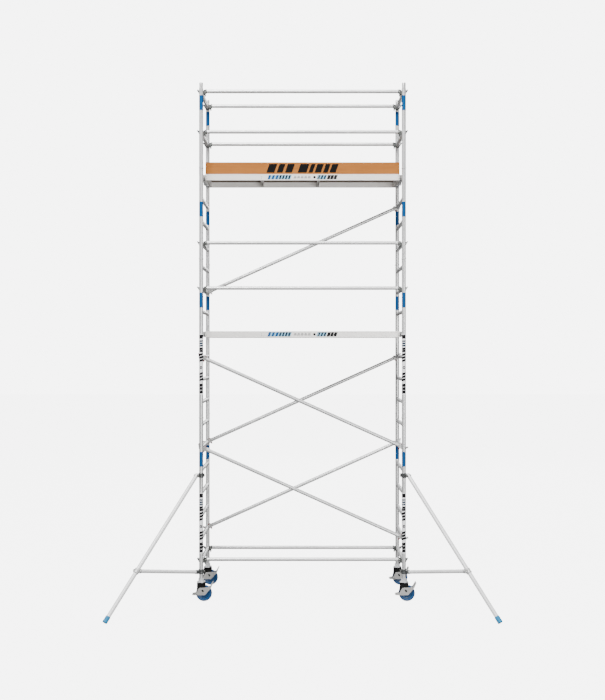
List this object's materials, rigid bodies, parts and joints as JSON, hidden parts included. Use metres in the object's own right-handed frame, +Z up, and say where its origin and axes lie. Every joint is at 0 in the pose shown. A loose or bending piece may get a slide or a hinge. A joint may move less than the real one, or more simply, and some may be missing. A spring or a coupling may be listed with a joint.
{
  "type": "mobile tower scaffold",
  "caption": "Aluminium mobile scaffold tower on braked castors with stacked ladder frames, clip-on braces, trapdoor platforms, toe boards and outrigger stabilisers.",
  "frame": {"origin": "middle of the footprint (stabilisers included) on the floor", "axes": "+X along the bay to the right seen from the stabiliser side, -Y towards the stabiliser feet, +Z up"},
  "size_m": [4.5146, 2.0894, 6.3896],
  "materials": {
    "tube": "drawn aluminium tube",
    "beam": "extruded aluminium",
    "coupler": "galvanised steel",
    "foot": "cyan moulded rubber",
    "deck_ply": "phenolic faced plywood",
    "toe_ply": "brown coated plywood",
    "steel": "zinc plated steel",
    "fork": "black powder coat",
    "wheel": "blue moulded tread and centre",
    "pedal": "zinc plated pressed steel"
  },
  "bodies": {
    "tower": {"left_lower_frame": "tube", "right_lower_frame": "tube", "left_middle_frame": "tube", "right_middle_frame": "tube", "left_upper_frame": "tube", "right_upper_frame": "tube", "left_guardrail_frame": "tube", "right_guardrail_frame": "tube", "base_rail_front": "tube", "base_rail_rear": "tube", "lower_knee_rail_front": "tube", "lower_guard_rail_front": "tube", "upper_knee_rail_front": "tube", "upper_knee_rail_rear": "tube", "upper_guard_rail_front": "tube", "upper_guard_rail_rear": "tube", "lower_diagonal_front": "tube", "upper_diagonal_front": "tube", "lower_diagonal_rear": "tube", "middle_diagonal_rear": "tube", "upper_diagonal_rear": "tube", "lower_platform_frame": "beam", "lower_deck_board": "deck_ply", "upper_platform_frame": "beam", "upper_deck_board": "deck_ply", "toe_board_front": "toe_ply", "toe_board_rear": "toe_ply", "toe_board_left": "toe_ply", "toe_board_right": "toe_ply"},
    "nut_front_left": {"adjusting_nut_front_left": "steel"},
    "leg_front_left": {"spindle_front_left": "steel"},
    "caster_front_left": {"caster_fork_front_left": "fork"},
    "wheel_front_left": {"wheel_front_left": "wheel"},
    "pedal_front_left": {"brake_pedal_front_left": "pedal"},
    "nut_front_right": {"adjusting_nut_front_right": "steel"},
    "leg_front_right": {"spindle_front_right": "steel"},
    "caster_front_right": {"caster_fork_front_right": "fork"},
    "wheel_front_right": {"wheel_front_right": "wheel"},
    "pedal_front_right": {"brake_pedal_front_right": "pedal"},
    "nut_rear_left": {"adjusting_nut_rear_left": "steel"},
    "leg_rear_left": {"spindle_rear_left": "steel"},
    "caster_rear_left": {"caster_fork_rear_left": "fork"},
    "wheel_rear_left": {"wheel_rear_left": "wheel"},
    "pedal_rear_left": {"brake_pedal_rear_left": "pedal"},
    "nut_rear_right": {"adjusting_nut_rear_right": "steel"},
    "leg_rear_right": {"spindle_rear_right": "steel"},
    "caster_rear_right": {"caster_fork_rear_right": "fork"},
    "wheel_rear_right": {"wheel_rear_right": "wheel"},
    "pedal_rear_right": {"brake_pedal_rear_right": "pedal"},
    "lower_hatch": {"lower_hatch": "deck_ply"},
    "upper_hatch": {"upper_hatch": "deck_ply"},
    "stabiliser_left": {"stabiliser_clamp_left": "coupler", "stabiliser_tube_left": "tube", "stabiliser_arm_left": "tube", "stabiliser_foot_left": "foot"},
    "stabiliser_right": {"stabiliser_clamp_right": "coupler", "stabiliser_tube_right": "tube", "stabiliser_arm_right": "tube", "stabiliser_foot_right": "foot"}
  },
  "joints": [
    {"name": "nut_turn_front_left", "type": "hinge", "parent": "tower", "child": "nut_front_left", "pos_m": [-1.24985, 0.08965, 0.25], "axis": [0, 0, 1], "range_deg": [0, 9000]},
    {"name": "leg_slide_front_left", "type": "slide", "parent": "tower", "child": "leg_front_left", "axis": [0, 0, -1], "range_m": [0, 0.2]},
    {"name": "caster_swivel_front_left", "type": "hinge", "parent": "leg_front_left", "child": "caster_front_left", "pos_m": [-1.24985, 0.08965, 0.22], "axis": [0, 0, 1], "continuous": true},
    {"name": "wheel_spin_front_left", "type": "hinge", "parent": "caster_front_left", "child": "wheel_front_left", "pos_m": [-1.21385, 0.08965, 0.1], "axis": [0, 1, 0], "continuous": true},
    {"name": "brake_front_left", "type": "hinge", "parent": "caster_front_left", "child": "pedal_front_left", "pos_m": [-1.29785, 0.08965, 0.092], "axis": [0, 1, 0], "range_deg": [0, 10]},
    {"name": "nut_turn_front_right", "type": "hinge", "parent": "tower", "child": "nut_front_right", "pos_m": [1.25015, 0.08965, 0.25], "axis": [0, 0, 1], "range_deg": [0, 9000]},
    {"name": "leg_slide_front_right", "type": "slide", "parent": "tower", "child": "leg_front_right", "axis": [0, 0, -1], "range_m": [0, 0.2]},
    {"name": "caster_swivel_front_right", "type": "hinge", "parent": "leg_front_right", "child": "caster_front_right", "pos_m": [1.25015, 0.08965, 0.22], "axis": [0, 0, 1], "continuous": true},
    {"name": "wheel_spin_front_right", "type": "hinge", "parent": "caster_front_right", "child": "wheel_front_right", "pos_m": [1.28615, 0.08965, 0.1], "axis": [0, 1, 0], "continuous": true},
    {"name": "brake_front_right", "type": "hinge", "parent": "caster_front_right", "child": "pedal_front_right", "pos_m": [1.20215, 0.08965, 0.092], "axis": [0, 1, 0], "range_deg": [0, 10]},
    {"name": "nut_turn_rear_left", "type": "hinge", "parent": "tower", "child": "nut_rear_left", "pos_m": [-1.24985, 0.98965, 0.25], "axis": [0, 0, 1], "range_deg": [0, 9000]},
    {"name": "leg_slide_rear_left", "type": "slide", "parent": "tower", "child": "leg_rear_left", "axis": [0, 0, -1], "range_m": [0, 0.2]},
    {"name": "caster_swivel_rear_left", "type": "hinge", "parent": "leg_rear_left", "child": "caster_rear_left", "pos_m": [-1.24985, 0.98965, 0.22], "axis": [0, 0, 1], "continuous": true},
    {"name": "wheel_spin_rear_left", "type": "hinge", "parent": "caster_rear_left", "child": "wheel_rear_left", "pos_m": [-1.21385, 0.98965, 0.1], "axis": [0, 1, 0], "continuous": true},
    {"name": "brake_rear_left", "type": "hinge", "parent": "caster_rear_left", "child": "pedal_rear_left", "pos_m": [-1.29785, 0.98965, 0.092], "axis": [0, 1, 0], "range_deg": [0, 10]},
    {"name": "nut_turn_rear_right", "type": "hinge", "parent": "tower", "child": "nut_rear_right", "pos_m": [1.25015, 0.98965, 0.25], "axis": [0, 0, 1], "range_deg": [0, 9000]},
    {"name": "leg_slide_rear_right", "type": "slide", "parent": "tower", "child": "leg_rear_right", "axis": [0, 0, -1], "range_m": [0, 0.2]},
    {"name": "caster_swivel_rear_right", "type": "hinge", "parent": "leg_rear_right", "child": "caster_rear_right", "pos_m": [1.25015, 0.98965, 0.22], "axis": [0, 0, 1], "continuous": true},
    {"name": "wheel_spin_rear_right", "type": "hinge", "parent": "caster_rear_right", "child": "wheel_rear_right", "pos_m": [1.28615, 0.98965, 0.1], "axis": [0, 1, 0], "continuous": true},
    {"name": "brake_rear_right", "type": "hinge", "parent": "caster_rear_right", "child": "pedal_rear_right", "pos_m": [1.20215, 0.98965, 0.092], "axis": [0, 1, 0], "range_deg": [0, 10]},
    {"name": "lower_hatch_hinge", "type": "hinge", "parent": "tower", "child": "lower_hatch", "pos_m": [-0.15485, 0.78365, 3.33], "axis": [-1, 0, 0], "range_deg": [0, 90]},
    {"name": "upper_hatch_hinge", "type": "hinge", "parent": "tower", "child": "upper_hatch", "pos_m": [-0.15485, 0.78365, 5.29], "axis": [-1, 0, 0], "range_deg": [0, 90]},
    {"name": "stabiliser_swing_left", "type": "hinge", "parent": "tower", "child": "stabiliser_left", "pos_m": [-1.24985, 0.08965, 0.366], "axis": [0, 0, 1], "range_deg": [-40, 40]},
    {"name": "stabiliser_swing_right", "type": "hinge", "parent": "tower", "child": "stabiliser_right", "pos_m": [1.25015, 0.08965, 0.366], "axis": [0, 0, 1], "range_deg": [-40, 40]}
  ],
  "couplings": [
    {"joint": "leg_slide_front_left", "follows": "nut_turn_front_left", "m_per_rad": 0.0012732},
    {"joint": "leg_slide_front_right", "follows": "nut_turn_front_right", "m_per_rad": 0.0012732},
    {"joint": "leg_slide_rear_left", "follows": "nut_turn_rear_left", "m_per_rad": 0.0012732},
    {"joint": "leg_slide_rear_right", "follows": "nut_turn_rear_right", "m_per_rad": 0.0012732}
  ]
}
